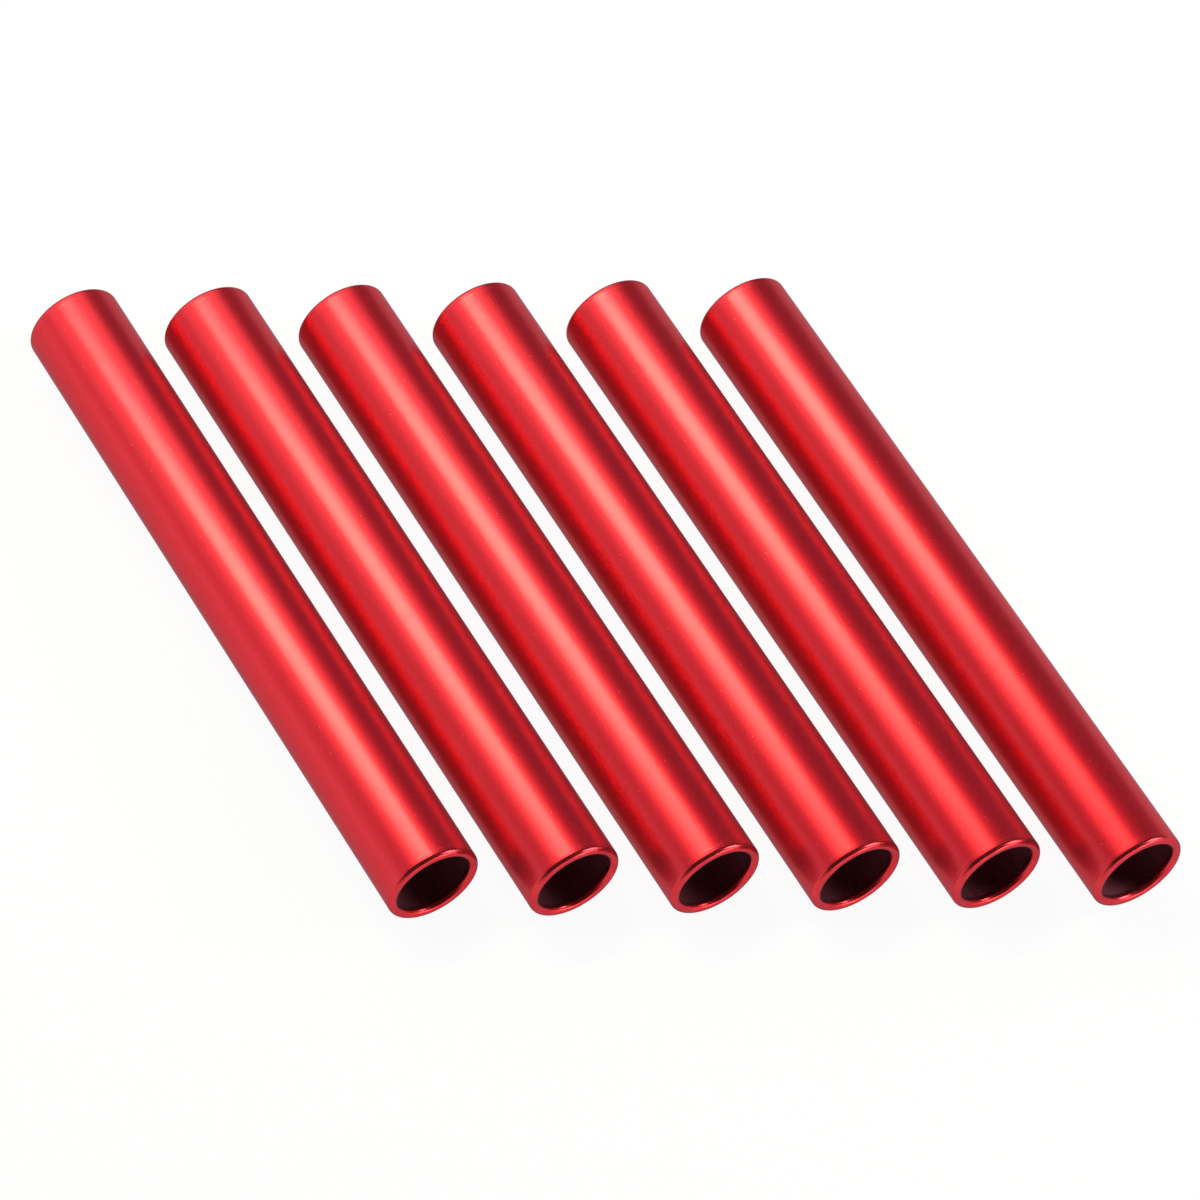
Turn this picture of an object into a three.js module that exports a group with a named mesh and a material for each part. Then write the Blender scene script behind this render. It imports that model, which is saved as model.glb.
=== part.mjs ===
// A set of relay batons laid side by side, each a step further back than the one beside it.
// Each baton is a single piece, as the sport asks: a length of thin aluminium tube, open at
// both ends, with its ends rolled inwards so that no cut edge meets the hand.
// Millimetres, +Z up. Every baton lies along Y, and the origin is on the ground, under the
// middle of the set.
import * as THREE from "three";

// The tube
const batonLength = 298;
const outerDiameter = 38.1;
const wallThickness = 1.2;

// The roll at each end. The wall turns inwards through half a circle round a narrow slot, and
// a short straight lip runs back into the bore, with the cut edge out of reach behind the rim.
const rollSlot = 1.5;
const lipLength = 1.4;

// How the set lies
const batonCount = 6;
const gapBetweenBatons = 8.2;
const staggerPerBaton = 24.7;

// How finely the round forms are cut
const sidesAround = 40;
const facetsOutsideRoll = 6;
const facetsInsideRoll = 2;

// The finish: clear red anodising on polished metal
const anodisedRed = 0xc2182b;
const anodisedRoughness = 0.32;
const anodisedMetalness = 1;

// Sizes that follow from those above
const outerRadius = outerDiameter / 2;
const boreRadius = outerRadius - wallThickness;
const lipOuterRadius = boreRadius - rollSlot;
const mouthRadius = lipOuterRadius - wallThickness;
const slotRadius = rollSlot / 2;
const rollRadius = slotRadius + wallThickness;
const rollCentreRadius = outerRadius - rollRadius;
const rollCentreAlong = batonLength / 2 - rollRadius;
const lipEndAlong = rollCentreAlong - lipLength;
const sideAngle = (2 * Math.PI) / sidesAround;
const centreToCentre = outerDiameter + gapBetweenBatons;

// Half a circle round the middle of the roll, from the tube's own wall over the end of the
// baton to the lip. Each point is a distance from the baton's axis and a place along it.
function halfCircle(radius, facets) {
  const points = [];
  for (let i = 0; i <= facets; i += 1) {
    const angle = (Math.PI * i) / facets;
    const fromAxis = rollCentreRadius + radius * Math.cos(angle);
    const along = rollCentreAlong + radius * Math.sin(angle);
    points.push(new THREE.Vector2(fromAxis, along));
  }
  return points;
}

// One rolled end: over the outside of the roll, round the cut edge and back through the slot
function rolledEnd() {
  return [
    ...halfCircle(rollRadius, facetsOutsideRoll),
    new THREE.Vector2(mouthRadius, lipEndAlong),
    new THREE.Vector2(lipOuterRadius, lipEndAlong),
    ...halfCircle(slotRadius, facetsInsideRoll).reverse(),
  ];
}

// The whole wall in section: one rolled end, the other as its mirror, and back to the start.
// The distances are to the middles of the flat sides, so the corners stand out a little more.
function wallSection() {
  const cornerShare = 1 / Math.cos(sideAngle / 2);
  const oneEnd = rolledEnd();
  const otherEnd = oneEnd.map((p) => new THREE.Vector2(p.x, -p.y)).reverse();
  const outline = [...oneEnd, ...otherEnd, oneEnd[0]];
  return outline.map((p) => new THREE.Vector2(p.x * cornerShare, p.y));
}

// One baton round its own axis, turned by half a side so that it lies on a flat one
function batonTube() {
  return new THREE.LatheGeometry(wallSection(), sidesAround, sideAngle / 2);
}

function anodisedAluminium() {
  return new THREE.MeshStandardMaterial({
    color: anodisedRed,
    roughness: anodisedRoughness,
    metalness: anodisedMetalness,
  });
}

// The set, counted from -X, with each baton one step further towards -Y than the last
function layOutSet() {
  const set = new THREE.Group();
  const middle = (batonCount - 1) / 2;
  for (let i = 0; i < batonCount; i += 1) {
    const baton = new THREE.Mesh(batonTube(), anodisedAluminium());
    baton.name = `baton_${i + 1}`;
    baton.position.x = (i - middle) * centreToCentre;
    baton.position.y = (middle - i) * staggerPerBaton;
    baton.position.z = outerRadius;
    set.add(baton);
  }
  return set;
}

const mouthDiameter = 2 * mouthRadius;
const rimWidth = outerRadius - mouthRadius;
console.log(`mouth ${mouthDiameter.toFixed(2)} mm across, rim ${rimWidth.toFixed(2)} mm wide`);

export default layOutSet();
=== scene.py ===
# %% [markdown]
# # A set of relay batons
# Six red relay batons lie side by side on a pale studio floor. Each one is a single length of
# thin aluminium tube, open at both ends, with its ends rolled inwards and its metal dyed red.
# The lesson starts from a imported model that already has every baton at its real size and
# place, and gives each of them the fine round surface, the rolled ends and the satin metal
# that a person sees. All lengths are in metres.

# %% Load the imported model
import math

import bmesh
import bpy
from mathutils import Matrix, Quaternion, Vector


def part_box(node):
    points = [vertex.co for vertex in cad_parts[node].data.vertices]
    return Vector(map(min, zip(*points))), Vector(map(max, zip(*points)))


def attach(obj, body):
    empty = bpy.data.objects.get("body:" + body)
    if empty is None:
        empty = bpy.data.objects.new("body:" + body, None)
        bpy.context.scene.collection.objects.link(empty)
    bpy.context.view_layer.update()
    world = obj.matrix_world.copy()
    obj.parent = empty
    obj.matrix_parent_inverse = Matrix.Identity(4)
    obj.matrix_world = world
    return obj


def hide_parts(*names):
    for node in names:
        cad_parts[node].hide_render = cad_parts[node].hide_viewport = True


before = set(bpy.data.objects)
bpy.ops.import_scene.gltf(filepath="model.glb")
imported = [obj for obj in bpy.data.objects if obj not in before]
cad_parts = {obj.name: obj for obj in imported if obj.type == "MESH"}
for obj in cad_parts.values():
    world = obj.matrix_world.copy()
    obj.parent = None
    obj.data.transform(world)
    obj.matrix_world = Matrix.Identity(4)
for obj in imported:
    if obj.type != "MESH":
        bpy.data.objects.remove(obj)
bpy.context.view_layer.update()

baton_names = sorted(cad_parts)
print("batons:", baton_names)

# %% [markdown]
# ## The camera
# A long lens from a good distance shows the set as a catalogue picture does: the batons stay
# nearly parallel, and the far ends are only a little smaller than the near ones. The camera
# is set by the two angles at which it looks down on the set, its distance and a point to
# look at, because these are easier to correct one by one than a place and three rotations.

# %% Camera
MM = 0.001
CAMERA_AZIMUTH = math.radians(-29.27)
CAMERA_ELEVATION = math.radians(56.12)
CAMERA_DISTANCE = 2.7
LENS_MM = 211.9
SENSOR_MM = 36
LOOK_AT = Vector((0.6 * MM, -5.4 * MM, 19.05 * MM))


def direction(azimuth, elevation):
    """From the set towards a thing seen at these angles; azimuth 0 is in front, on -Y."""
    level = math.cos(elevation)
    return Vector((math.sin(azimuth) * level, -math.cos(azimuth) * level, math.sin(elevation)))


def place_camera():
    data = bpy.data.cameras.new("catalogue_camera")
    data.lens = LENS_MM
    data.sensor_width = SENSOR_MM
    camera = bpy.data.objects.new("catalogue_camera", data)
    bpy.context.scene.collection.objects.link(camera)
    back = direction(CAMERA_AZIMUTH, CAMERA_ELEVATION)
    camera.location = LOOK_AT + back * CAMERA_DISTANCE
    camera.rotation_mode = "QUATERNION"
    camera.rotation_quaternion = (-back).to_track_quat("-Z", "Y")
    bpy.context.scene.camera = camera
    return camera


camera = place_camera()
print("camera at", [round(v, 3) for v in camera.location])

# %% [markdown]
# ## What the tube measures
# The length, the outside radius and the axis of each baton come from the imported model, so a
# change of size there carries through to everything here. The wall and the roll can't be
# read from a box, so they are written down as the real sizes that the model was made with.

# %% Sizes of a baton
WALL = 1.2 * MM
ROLL_SLOT = 1.5 * MM
LIP_LENGTH = 1.4 * MM
CUT_EDGE_ROUND = 0.2 * MM

first_low, first_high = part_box(baton_names[0])
LENGTH = first_high.y - first_low.y
OUTER_RADIUS = (first_high.z - first_low.z) / 2
BORE_RADIUS = OUTER_RADIUS - WALL
LIP_OUTER_RADIUS = BORE_RADIUS - ROLL_SLOT
MOUTH_RADIUS = LIP_OUTER_RADIUS - WALL
SLOT_RADIUS = ROLL_SLOT / 2
ROLL_RADIUS = SLOT_RADIUS + WALL
print("length", round(LENGTH / MM, 2), "mm, outside", round(2 * OUTER_RADIUS / MM, 2), "mm")
print("mouth", round(2 * MOUTH_RADIUS / MM, 2), "mm, roll radius", round(ROLL_RADIUS / MM, 2), "mm")

# %% [markdown]
# ## The section of a rolled end
# A steel wheel presses the end of the turning tube inwards until the wall has gone through
# half a circle. The roll could be a bevel modifier on a plain pipe, but a bevel has no inside,
# and here the wall really turns round and its lip runs back into the bore. So the wall is
# drawn as a section: points that each hold a distance from the axis, a place along it and
# the finish of the strip that starts there.

# %% Section of a rolled end
BODY, RIM, BORE = 0, 1, 2
OUTER_ROLL_STEPS = 28
INNER_ROLL_STEPS = 10
STRAIGHT_BESIDE_ROLL = 1.5 * MM


def arc(radius, steps, start, stop, finish):
    """Points on a circle round the middle of the roll; angle 0 is away from the axis."""
    centre_out = OUTER_RADIUS - ROLL_RADIUS
    centre_along = LENGTH / 2 - ROLL_RADIUS
    points = []
    for i in range(steps + 1):
        angle = start + (stop - start) * i / steps
        out = centre_out + radius * math.cos(angle)
        along = centre_along + radius * math.sin(angle)
        points.append((out, along, finish))
    return points


def cut_lip():
    """The lip behind the roll, with the corners of its cut edge broken."""
    end = LENGTH / 2 - ROLL_RADIUS - LIP_LENGTH
    soft = CUT_EDGE_ROUND
    return [
        (MOUTH_RADIUS, end + soft, BORE),
        (MOUTH_RADIUS + soft, end, BORE),
        (LIP_OUTER_RADIUS - soft, end, BORE),
        (LIP_OUTER_RADIUS, end + soft, BORE),
    ]


def rolled_end():
    """The wall at one end, with a short straight piece before the bend on both its faces.

    Without these two pieces the smooth shading of the bend would reach along the tube.
    """
    before_bend = LENGTH / 2 - ROLL_RADIUS - STRAIGHT_BESIDE_ROLL
    outside = arc(ROLL_RADIUS, OUTER_ROLL_STEPS, 0, math.pi, RIM)
    inside = arc(SLOT_RADIUS, INNER_ROLL_STEPS, math.pi, 0, BORE)
    start = (OUTER_RADIUS, before_bend, BODY)
    stop = (BORE_RADIUS, before_bend, BORE)
    return [start, *outside, *cut_lip(), *inside, stop]


def wall_section():
    """Both ends in one closed outline: the second is the first one seen in a mirror."""
    one = rolled_end()
    before = [BODY] + [finish for _, _, finish in one[:-1]]
    other = [(out, -along, finish) for (out, along, _), finish in zip(one, before)]
    other.reverse()
    return one + other


section = wall_section()
print("points in the section:", len(section))

# %% [markdown]
# ## From the section to a tube
# Turning the section round the axis gives the tube. Blender's Screw modifier can do that,
# but the grain of the metal needs a place on the tube to hold on to, so each ring of points
# is written out in a loop with bmesh, and every point keeps its place on the metal twice:
# on the round tube, and on the sheet that the tube would give if it were slit along its
# underside and rolled out flat. A baton shows another side each time it is laid down, so
# these places are moved on from one baton to the next. The golden angle does that without
# random numbers, because its multiples never come back to the same side.

# %% Tube
SIDES = 256
GOLDEN_ANGLE = math.radians(137.508)


def on_round(out, along, turn):
    return Vector((out * math.sin(turn), along, out * math.cos(turn)))


def spin(number):
    """A closed tube round the Y axis, with its middle at the origin."""
    mesh = bmesh.new()
    on_metal = mesh.verts.layers.float_vector.new("on_metal")
    on_sheet = mesh.verts.layers.float_vector.new("on_sheet")
    moved_on = number * LENGTH
    rings = []
    for side in range(SIDES):
        turn = 2 * math.pi * side / SIDES - math.pi
        ring = []
        for out, along, _ in section:
            corner = mesh.verts.new(on_round(out, along, turn))
            corner[on_metal] = on_round(out, along + moved_on, turn + number * GOLDEN_ANGLE)
            corner[on_sheet] = Vector((turn * OUTER_RADIUS, along + moved_on, 0))
            ring.append(corner)
        rings.append(ring)
    for side, ring in enumerate(rings):
        following = rings[(side + 1) % SIDES]
        for i, (_, _, finish) in enumerate(section):
            j = (i + 1) % len(section)
            face = mesh.faces.new((ring[i], ring[j], following[j], following[i]))
            face.material_index = finish
            face.smooth = True
    bmesh.ops.recalc_face_normals(mesh, faces=mesh.faces)
    return mesh


print("faces that a tube will have:", SIDES * len(section))

# %% [markdown]
# ## Nodes without the mouse
# The metal is made of shader nodes. Joined by hand they would fill a page for each finish,
# so a few short helpers do the joining: one adds a node and feeds it, and the others map a
# value to a new range, combine two values and blend two colours.

# %% Helpers for shader nodes


def feed(tree, socket, value):
    """Gives a socket its value: a number, a colour, or another socket to link it to."""
    if isinstance(value, bpy.types.NodeSocket):
        tree.links.new(value, socket)
    else:
        socket.default_value = value


def add_node(tree, kind, inputs=None, **settings):
    """A node of that kind; inputs holds numbers, colours or the sockets that feed it."""
    node = tree.nodes.new(kind)
    for name, value in settings.items():
        setattr(node, name, value)
    for name, value in (inputs or {}).items():
        feed(tree, node.inputs[name], value)
    return node


def to_range(tree, value, low, high, first=0, last=1):
    """Maps value from low..high to first..last, and holds it there."""
    sockets = {"Value": value, "From Min": low, "From Max": high, "To Min": first, "To Max": last}
    return add_node(tree, "ShaderNodeMapRange", sockets).outputs["Result"]


def combine(tree, operation, one, two):
    node = add_node(tree, "ShaderNodeMath", operation=operation)
    feed(tree, node.inputs[0], one)
    feed(tree, node.inputs[1], two)
    return node.outputs["Value"]


def distance_from(tree, value, mark):
    """How far a value is from a mark, on whichever side of it."""
    return combine(tree, "ABSOLUTE", combine(tree, "SUBTRACT", value, mark), 0)


def blend_colours(tree, share, first, last):
    mix = add_node(tree, "ShaderNodeMix", data_type="RGBA")
    for name, value in (("Factor", share), ("A", first), ("B", last)):
        feed(tree, next(s for s in mix.inputs if s.name == name and s.enabled), value)
    return next(s for s in mix.outputs if s.enabled)


# %% [markdown]
# ## Grain that keeps to the metal
# Noise that followed the world would slide over a baton when it is lifted. So the noise
# follows the places that each tube's points carry, and its grains have real sizes, one
# across the tube and one along it: long grains along it look drawn, and long grains across
# it look like scratches that run round.

# %% Grain
MOST_OF_NOISE = (0.3, 0.7)


def place(tree, layer, grain_across, grain_along):
    """The place on the metal, counted in grains of these sizes across and along the tube."""
    where = add_node(tree, "ShaderNodeAttribute", attribute_name=layer).outputs["Vector"]
    scale = (1 / grain_across, 1 / grain_along, 1 / grain_across)
    return add_node(tree, "ShaderNodeMapping", {"Vector": where, "Scale": scale}).outputs["Vector"]


def grains(tree, layer, grain_across, grain_along, detail=2.0):
    """Cloudy noise from 0 to 1 with grains of these sizes; most of it is near the middle."""
    where = place(tree, layer, grain_across, grain_along)
    noise = add_node(tree, "ShaderNodeTexNoise", {"Vector": where, "Scale": 1, "Detail": detail})
    return noise.outputs["Fac"]


# %% [markdown]
# ## Specks
# The bright dip before dyeing leaves a tiny pit here and there, which looks like a dark
# speck, and a speck of dust looks like a pale one. A Voronoi texture gives one point to
# each cell of the sheet. Only some of the cells keep theirs, because evenly spread specks
# look printed.

# %% Specks
SPECK_HEART_SHARE = 0.2


def specks(tree, spacing, radius, kept_share):
    """1 in the heart of a speck, falling to 0 at its radius."""
    where = place(tree, "on_sheet", spacing, spacing)
    sockets = {"Vector": where, "Scale": 1}
    cells = add_node(tree, "ShaderNodeTexVoronoi", sockets, voronoi_dimensions="2D")
    near = radius / spacing
    dot = to_range(tree, cells.outputs["Distance"], near * SPECK_HEART_SHARE, near, 1, 0)
    chance = add_node(tree, "ShaderNodeSeparateColor", {"Color": cells.outputs["Color"]})
    kept = combine(tree, "LESS_THAN", chance.outputs["Red"], kept_share)
    return combine(tree, "MULTIPLY", dot, kept)


# %% [markdown]
# ## Metal under a clear skin
# Anodising grows a clear, hard skin on the aluminium and the dye sits inside it. Light goes
# through the skin, meets the metal and comes back red, so the metal itself carries the
# colour. A little of the light turns back at the skin's surface and stays white, which is
# why the brightest part of the highlight is pink. In the shader that is a red metal under a
# thin coat. The skin is also a little milky, and the shader's sheen gives that: a faint veil
# where one looks along the surface. Relief is pressed into the metal and its skin alike, or
# the skin's highlight would lie on the marks like glass.

# %% Metal and skin
METAL_SHARE = 0.93
BASE_IOR = 1.2
EDGE_TINT = (0.22, 0.35, 0.42, 1)
COAT_WEIGHT = 0.13
COAT_ROUGHNESS = 0.26
COAT_IOR = 2.4
VEIL = 0.06
VEIL_ROUGHNESS = 0.6
VEIL_TINT = (1.0, 0.65, 1.0, 1)


def metal_under_skin(tree, metal_share, coat_roughness):
    """The metal's shader, with what is the same all over set on its own sockets."""
    coat = {"Coat Weight": COAT_WEIGHT, "Coat Roughness": coat_roughness, "Coat IOR": COAT_IOR}
    metal = {"Metallic": metal_share, "IOR": BASE_IOR, "Specular Tint": EDGE_TINT}
    veil = {"Sheen Weight": VEIL, "Sheen Roughness": VEIL_ROUGHNESS, "Sheen Tint": VEIL_TINT}
    shader = add_node(tree, "ShaderNodeBsdfPrincipled", {**metal, **coat, **veil})
    add_node(tree, "ShaderNodeOutputMaterial", {"Surface": shader.outputs["BSDF"]})
    return shader


def press_in(tree, shader, height, depth):
    """Turns a height from 0 to 1 into relief of that depth, in metres."""
    bump = add_node(tree, "ShaderNodeBump", {"Height": height, "Strength": 1, "Distance": depth})
    feed(tree, shader.inputs["Normal"], bump.outputs["Normal"])
    feed(tree, shader.inputs["Coat Normal"], bump.outputs["Normal"])


def new_material(name):
    material = bpy.data.materials.new(name)
    material.use_nodes = True
    material.node_tree.nodes.clear()
    return material


# %% [markdown]
# ## The light on the crease
# The wall starts to bend a little way before each roll, and the crease there catches a fine
# line of light. The mesh is straight at that place, so the line is painted into the colour: a
# painted highlight, as a ring of fine pale dots beside each roll. A ring is every place at
# the same distance from the middle of the baton, so no picture is needed for it, and a fine
# noise breaks it up into dots.

# %% Painted highlight on the crease
CREASE_HIGHLIGHT_FROM_END = 3.5 * MM
CREASE_HIGHLIGHT_WIDTH = 0.5 * MM
CREASE_HIGHLIGHT_GRAIN = 0.4 * MM
CREASE_HIGHLIGHT_DOTS = (0.5, 0.65)
CREASE_HIGHLIGHT_STRENGTH = 0.22


def crease_highlight(tree):
    """Painted highlight: pale dots in a ring beside each roll, and 0 everywhere else."""
    place_on_tube = add_node(tree, "ShaderNodeTexCoord").outputs["Object"]
    parts = add_node(tree, "ShaderNodeSeparateXYZ", {"Vector": place_on_tube})
    from_middle = distance_from(tree, parts.outputs["Y"], 0)
    off_ring = distance_from(tree, from_middle, LENGTH / 2 - CREASE_HIGHLIGHT_FROM_END)
    ring = to_range(tree, off_ring, CREASE_HIGHLIGHT_WIDTH / 4, CREASE_HIGHLIGHT_WIDTH / 2, 1, 0)
    dots = to_range(tree, grains(tree, "on_sheet", CREASE_HIGHLIGHT_GRAIN, CREASE_HIGHLIGHT_GRAIN, detail=1), *CREASE_HIGHLIGHT_DOTS)
    return combine(tree, "MULTIPLY", combine(tree, "MULTIPLY", ring, dots), CREASE_HIGHLIGHT_STRENGTH)


# %% [markdown]
# ## The satin body
# The satin is a fine frost from the acid bath before dyeing, a little paler and duller where
# it is coarser. Faint lines run along the tube from the drawing, and short thin scratches
# run round it from handling. Each kind of mark is a noise of its own, stretched the way that
# the real marks run, and broad soft clouds let the dye vary a little from place to place.

# %% Finish of the body
RED = (0.64, 0.003, 0.014, 1)
DEEP_RED = (0.59, 0.002, 0.011, 1)
FROST_RED = (0.66, 0.010, 0.020, 1)
PIT_RED = (0.24, 0.004, 0.008, 1)
# pale pink of the dust specks, and of the painted highlight on the crease beside each roll
DUST_AND_HIGHLIGHT_PINK = (0.80, 0.30, 0.30, 1)
SATIN = 0.41
SATIN_SPREAD = 0.04
SCRATCH_DULLING = 0.08

# Sizes of the grains, across the tube and along it
CLOUD_SIZE = (9 * MM, 30 * MM)
FROST_SIZE = (0.9 * MM, 1.2 * MM)
LINE_SIZE = (0.5 * MM, 60 * MM)
SCRATCH_SIZE = (5 * MM, 0.14 * MM)

# Which part of a noise shows: only the peaks of one make scratches
FROST_PART = (0.35, 0.7)
SCRATCH_PART = (0.72, 0.8)

PIT_SPACING, PIT_RADIUS = 9 * MM, 0.26 * MM
DUST_SPACING, DUST_RADIUS = 12 * MM, 0.22 * MM
KEPT_SPECKS = 0.3
LINE_SHARE = 0.7
RAISED_SHARE = 0.5
BODY_RELIEF = 0.025 * MM


def body_finish():
    material = new_material("red_anodised_body")
    tree = material.node_tree
    shader = metal_under_skin(tree, METAL_SHARE, COAT_ROUGHNESS)
    clouds = to_range(tree, grains(tree, "on_sheet", *CLOUD_SIZE), *MOST_OF_NOISE)
    frost = grains(tree, "on_sheet", *FROST_SIZE, detail=4)
    lines = grains(tree, "on_sheet", *LINE_SIZE)
    scratches = to_range(tree, grains(tree, "on_sheet", *SCRATCH_SIZE, detail=1), *SCRATCH_PART)
    pits = specks(tree, PIT_SPACING, PIT_RADIUS, KEPT_SPECKS)
    dust = specks(tree, DUST_SPACING, DUST_RADIUS, KEPT_SPECKS)
    # the dust specks are real; the crease ring mixed in here is painted highlight
    dust_and_crease_highlight = combine(tree, "MAXIMUM", dust, crease_highlight(tree))

    dye = blend_colours(tree, clouds, RED, DEEP_RED)
    frosted = blend_colours(tree, to_range(tree, frost, *FROST_PART), dye, FROST_RED)
    pitted = blend_colours(tree, pits, frosted, PIT_RED)
    feed(tree, shader.inputs["Base Color"], blend_colours(tree, dust_and_crease_highlight, pitted, DUST_AND_HIGHLIGHT_PINK))

    satin = to_range(tree, frost, *MOST_OF_NOISE, SATIN - SATIN_SPREAD, SATIN + SATIN_SPREAD)
    dulled = combine(tree, "MULTIPLY", scratches, SCRATCH_DULLING)
    feed(tree, shader.inputs["Roughness"], combine(tree, "ADD", satin, dulled))

    grain = combine(tree, "ADD", frost, combine(tree, "MULTIPLY", lines, LINE_SHARE))
    raised = combine(tree, "MULTIPLY", grain, RAISED_SHARE)
    sunken = combine(tree, "ADD", pits, scratches)
    press_in(tree, shader, combine(tree, "SUBTRACT", raised, sunken), BODY_RELIEF)
    return material


body_metal = body_finish()
print(body_metal.name, "has", len(body_metal.node_tree.nodes), "nodes")

# %% [markdown]
# ## The rolled rim
# Rolling stretches the skin of the metal over the bend, and the dye takes a little paler
# there, with a grain like orange peel. The rim also gets knocked most, so its gloss is less
# even. It is the same recipe with shorter and rounder grains.

# %% Finish of the rim
RIM_RED = (0.60, 0.006, 0.014, 1)
RIM_PALE = (0.72, 0.035, 0.040, 1)
RIM_SATIN = 0.26
RIM_SATIN_SPREAD = 0.03
RIM_METAL_SHARE = 0.97
PEEL_SIZE = (0.35 * MM, 0.35 * MM)
PATCH_SIZE = (4 * MM, 4 * MM)
WEAR_PART = (0.2, 0.5)
RIM_RELIEF = 0.001 * MM


def rim_finish():
    material = new_material("red_anodised_rim")
    tree = material.node_tree
    shader = metal_under_skin(tree, RIM_METAL_SHARE, COAT_ROUGHNESS)
    peel = grains(tree, "on_metal", *PEEL_SIZE, detail=3)
    patches = grains(tree, "on_metal", *PATCH_SIZE, detail=3)
    wear = to_range(tree, combine(tree, "MULTIPLY", peel, patches), *WEAR_PART)
    feed(tree, shader.inputs["Base Color"], blend_colours(tree, wear, RIM_RED, RIM_PALE))
    smoothest, dullest = RIM_SATIN - RIM_SATIN_SPREAD, RIM_SATIN + RIM_SATIN_SPREAD
    satin = to_range(tree, peel, *MOST_OF_NOISE, smoothest, dullest)
    feed(tree, shader.inputs["Roughness"], satin)
    press_in(tree, shader, peel, RIM_RELIEF)
    return material


rim_metal = rim_finish()
print(rim_metal.name, "has", len(rim_metal.node_tree.nodes), "nodes")

# %% [markdown]
# ## The bore
# Nobody polishes the inside of the tube. It is dyed with the rest, but it stays as dull as
# it came from the mill, and the little light that gets in is soon lost in it. Its colours are
# also painted darker and greyer than the body's red: painted shade for the inside of the tube.

# %% Finish of the bore
# painted shade: both bore colours are darker and greyer than the body's red, partly for the dull
# mill finish and partly for the shade inside the tube
BORE_SHADED_RED = (0.28, 0.075, 0.090, 1)
BORE_SHADED_DEEP = (0.20, 0.050, 0.062, 1)
BORE_METAL_SHARE = 0.6
BORE_COAT_ROUGHNESS = 0.4
BORE_DULLNESS = (0.5, 0.65)
MILL_MARK_SIZE = (0.8 * MM, 12 * MM)
BORE_RELIEF = 0.006 * MM


def bore_finish():
    material = new_material("red_anodised_bore")
    tree = material.node_tree
    shader = metal_under_skin(tree, BORE_METAL_SHARE, BORE_COAT_ROUGHNESS)
    mill_marks = grains(tree, "on_metal", *MILL_MARK_SIZE, detail=4)
    share = to_range(tree, mill_marks, *MOST_OF_NOISE)
    feed(tree, shader.inputs["Base Color"], blend_colours(tree, share, BORE_SHADED_RED, BORE_SHADED_DEEP))
    dullness = to_range(tree, mill_marks, *MOST_OF_NOISE, *BORE_DULLNESS)
    feed(tree, shader.inputs["Roughness"], dullness)
    press_in(tree, shader, mill_marks, BORE_RELIEF)
    return material


bore_metal = bore_finish()
print(bore_metal.name, "has", len(bore_metal.node_tree.nodes), "nodes")

# %% [markdown]
# ## Lay the batons down
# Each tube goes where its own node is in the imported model, and takes that node's place in
# the picture. All six lie the same way up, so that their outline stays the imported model's
# own. What differs from one to the next is the grain that each was given when it was spun.

# %% Six tubes
FINISHES = {BODY: body_metal, RIM: rim_metal, BORE: bore_metal}


def lay_down(name, number):
    low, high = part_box(name)
    tube = spin(number)
    mesh = bpy.data.meshes.new(name + "_tube")
    tube.to_mesh(mesh)
    tube.free()
    for strip in sorted(FINISHES):
        mesh.materials.append(FINISHES[strip])
    piece = bpy.data.objects.new(name + "_tube", mesh)
    bpy.context.scene.collection.objects.link(piece)
    piece.location = (low + high) / 2
    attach(piece, name)
    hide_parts(name)
    return piece


tubes = [lay_down(name, number) for number, name in enumerate(baton_names)]
for tube in tubes:
    print(tube.name, "faces:", len(tube.data.polygons), "at", [round(v, 4) for v in tube.location])

# %% [markdown]
# ## The floor
# The floor is plain white card. A catalogue picture has a background of even white, which
# card under lamps never quite gives, so most of what the camera and the metal see of the
# floor is a plain white glow, and the rest is the card itself with the batons' soft shadows.

# %% Floor
FLOOR_SIDE = 24.0
CARD_WHITE = (0.93, 0.93, 0.93, 1)
GLOW_WHITE = (1, 1, 1, 1)
GLOW_SHARE = 0.94


def seen_directly(tree):
    """1 for rays from the camera, a reflection or through glass, and 0 for the rest."""
    rays = add_node(tree, "ShaderNodeLightPath").outputs
    seen = combine(tree, "MAXIMUM", rays["Is Camera Ray"], rays["Is Glossy Ray"])
    return combine(tree, "MAXIMUM", seen, rays["Is Transmission Ray"])


def glowing_card():
    material = new_material("white_card")
    tree = material.node_tree
    card = add_node(tree, "ShaderNodeBsdfDiffuse", {"Color": CARD_WHITE})
    glow = add_node(tree, "ShaderNodeEmission", {"Color": GLOW_WHITE, "Strength": 1})
    share = combine(tree, "MULTIPLY", seen_directly(tree), GLOW_SHARE)
    mix = add_node(tree, "ShaderNodeMixShader", {"Fac": share})
    feed(tree, mix.inputs[1], card.outputs["BSDF"])
    feed(tree, mix.inputs[2], glow.outputs["Emission"])
    add_node(tree, "ShaderNodeOutputMaterial", {"Surface": mix.outputs["Shader"]})
    return material


def lay_floor():
    mesh = bpy.data.meshes.new("floor")
    half = FLOOR_SIDE / 2
    corners = [(-half, -half, 0), (half, -half, 0), (half, half, 0), (-half, half, 0)]
    mesh.from_pydata(corners, [], [(0, 1, 2, 3)])
    mesh.materials.append(glowing_card())
    floor = bpy.data.objects.new("floor", mesh)
    bpy.context.scene.collection.objects.link(floor)
    return floor


floor = lay_floor()
print(floor.name, "is", FLOOR_SIDE, "m a side")

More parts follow.
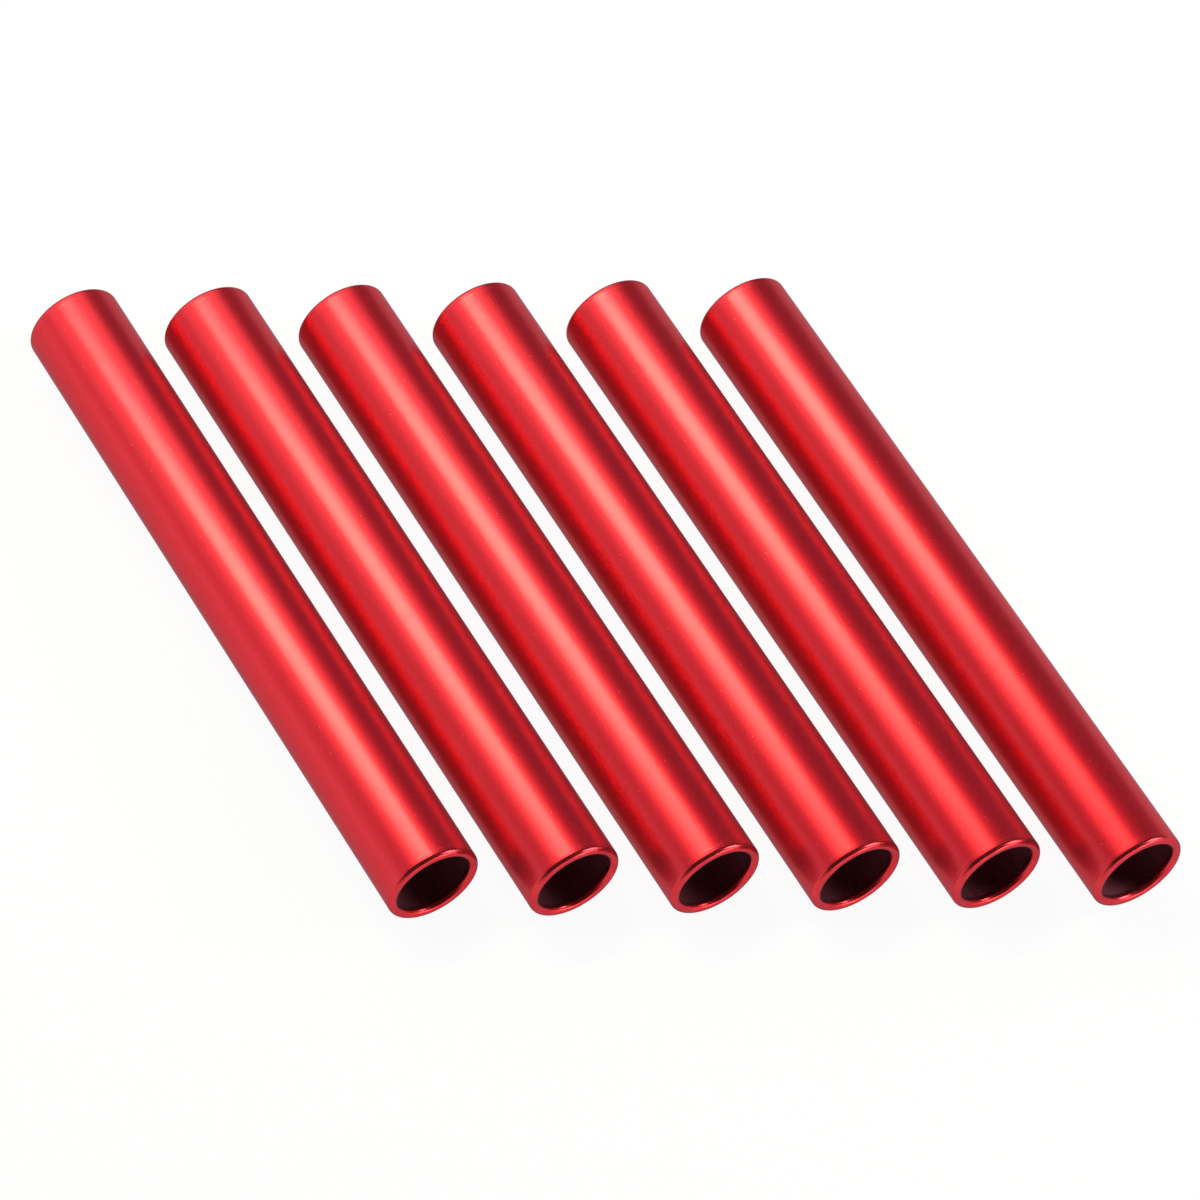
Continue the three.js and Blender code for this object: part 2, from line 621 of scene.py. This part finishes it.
# %% [markdown]
# ## The lights
# Polished tube is a mirror that is curved one way, so its look is a picture of what stands
# round it. A very big round softbox above and behind the set makes the long, wide highlight,
# and a narrow bright one in front of its edge makes the warm core, strongest at the middle
# of each baton. The narrow one is turned a little, because the batons lie in a stagger and
# each should meet it at much the same place along its length. A card low on the left gives
# the full red beside the highlight. A softbox on the right, and a card and a small softbox
# in front, draw the bright lines on the rolled rims.

# %% Lamps
MIDDLE = Vector((0, 0, 0))
DOWN = Vector((0, 0, -1))
BACK_PLACE = Vector((-0.28, 4.04, 2.00))
CORE_PLACE = Vector((-0.14, 0.95, 1.62))
WHITE = (1, 1, 1)
WARM = (1, 0.97, 0.68)
COOL = (0.97, 0.92, 1)


def softbox(name, place, aim, size, glow, colour=WHITE, shape="ELLIPSE", turn=0):
    """A lamp with a face of that size, facing aim; glow is its brightness as it is seen.

    turn is an angle in degrees, by which the face is turned in its own plane.
    """
    width, height = size
    face = width * height * (math.pi / 4 if shape == "ELLIPSE" else 1)
    data = bpy.data.lights.new(name, "AREA")
    data.shape = shape
    data.size = width
    data.size_y = height
    data.color = colour
    data.energy = glow * math.pi * face
    lamp = bpy.data.objects.new(name, data)
    bpy.context.scene.collection.objects.link(lamp)
    lamp.location = place
    lamp.rotation_mode = "QUATERNION"
    facing = (place - aim).to_track_quat("Z", "Y")
    lamp.rotation_quaternion = facing @ Quaternion((0, 0, 1), math.radians(turn))
    lamp.visible_camera = False
    return lamp


def seen_at(azimuth, elevation, distance):
    return direction(math.radians(azimuth), math.radians(elevation)) * distance


lamps = [
    softbox("back_softbox", BACK_PLACE, BACK_PLACE + DOWN, (6.00, 6.20), 1.52),
    softbox("core_softbox", CORE_PLACE, CORE_PLACE + DOWN, (1.25, 0.18), 40.0, WARM, turn=-14),
    softbox("left_card", seen_at(-118, 15, 1.6), MIDDLE, (1.8, 1.05), 0.72, COOL, "RECTANGLE"),
    softbox("right_softbox", seen_at(64, 31, 2), MIDDLE, (0.7, 0.9), 16.0),
    softbox("front_card", seen_at(17, 9, 1.6), MIDDLE, (2.4, 0.4), 2.0, COOL, "RECTANGLE"),
    softbox("front_softbox", seen_at(28, 12, 1.6), MIDDLE, (0.6, 0.35), 9.0, WARM),
]
print("lamps:", [lamp.name for lamp in lamps])

# %% [markdown]
# ## The room
# Past the lamps there is only the room, and the tubes mirror that too. It is pale near the
# floor on the left, dim near the floor on the right, which draws the dark band on each
# tube's right flank, and nearly black overhead, which keeps the highlight's edges clear.

# %% Room
ROOM_LEFT = (0.75, 0.75, 0.75, 1)
ROOM_RIGHT = (0.16, 0.18, 0.20, 1)
ROOM_HIGH = (0.05, 0.05, 0.055, 1)
LOW_TO_HIGH = (0.05, 0.45)
LEFT_TO_RIGHT = (-0.5, 0.5)


def make_room():
    world = bpy.data.worlds.new("room")
    bpy.context.scene.world = world
    world.use_nodes = True
    tree = world.node_tree
    tree.nodes.clear()
    outwards = add_node(tree, "ShaderNodeTexCoord").outputs["Generated"]
    parts = add_node(tree, "ShaderNodeSeparateXYZ", {"Vector": outwards})
    height = to_range(tree, parts.outputs["Z"], *LOW_TO_HIGH)
    right = to_range(tree, parts.outputs["X"], *LEFT_TO_RIGHT)
    low = blend_colours(tree, right, ROOM_LEFT, ROOM_RIGHT)
    colour = blend_colours(tree, height, low, ROOM_HIGH)
    light = add_node(tree, "ShaderNodeBackground", {"Color": colour, "Strength": 1})
    add_node(tree, "ShaderNodeOutputWorld", {"Surface": light.outputs["Background"]})
    return world


room = make_room()
bpy.context.scene.view_settings.view_transform = "Standard"
print("world:", room.name)
